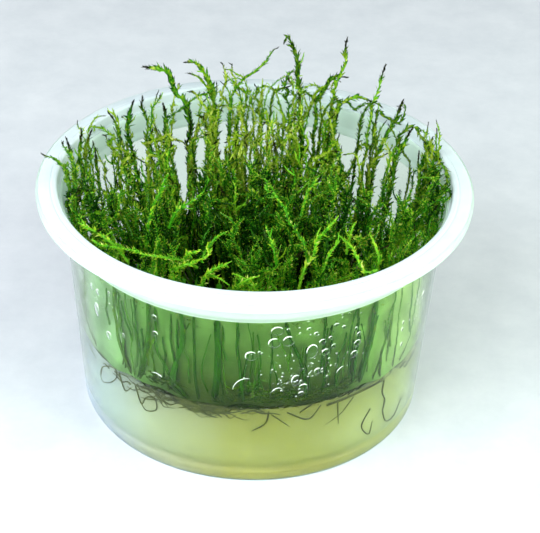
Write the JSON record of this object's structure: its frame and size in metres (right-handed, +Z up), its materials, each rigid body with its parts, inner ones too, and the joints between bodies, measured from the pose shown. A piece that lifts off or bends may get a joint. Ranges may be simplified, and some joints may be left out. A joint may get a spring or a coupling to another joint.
{
  "type": "moss clump",
  "caption": "Clump of upright feathery moss shoots rooted in nutrient gel in a clear flanged culture cup.",
  "frame": {"origin": "centre of the cup's flat base, on the surface it stands on", "axes": "+Z up along the cup's axis, -Y towards the viewer of the picture, +X to the viewer's right"},
  "size_m": [0.1, 0.1, 0.078],
  "materials": {
    "clear_polypropylene": "clear, slightly milky, moulded smooth",
    "agar_gel": "milky translucent gel, wet surface",
    "moss": "fine damp leaves, soft sheen, dark brown tips",
    "rhizoid": "thin brown rooting threads",
    "condensation": "clear water drops"
  },
  "bodies": {
    "root": {"culture_cup": "clear_polypropylene", "nutrient_gel": "agar_gel", "moss_tuft_right": "moss", "moss_tuft_back_right": "moss", "moss_tuft_back": "moss", "moss_tuft_back_left": "moss", "moss_tuft_left": "moss", "moss_tuft_front_left": "moss", "moss_tuft_front": "moss", "moss_tuft_front_right": "moss", "moss_tuft_centre": "moss"}
  },
  "joints": []
}
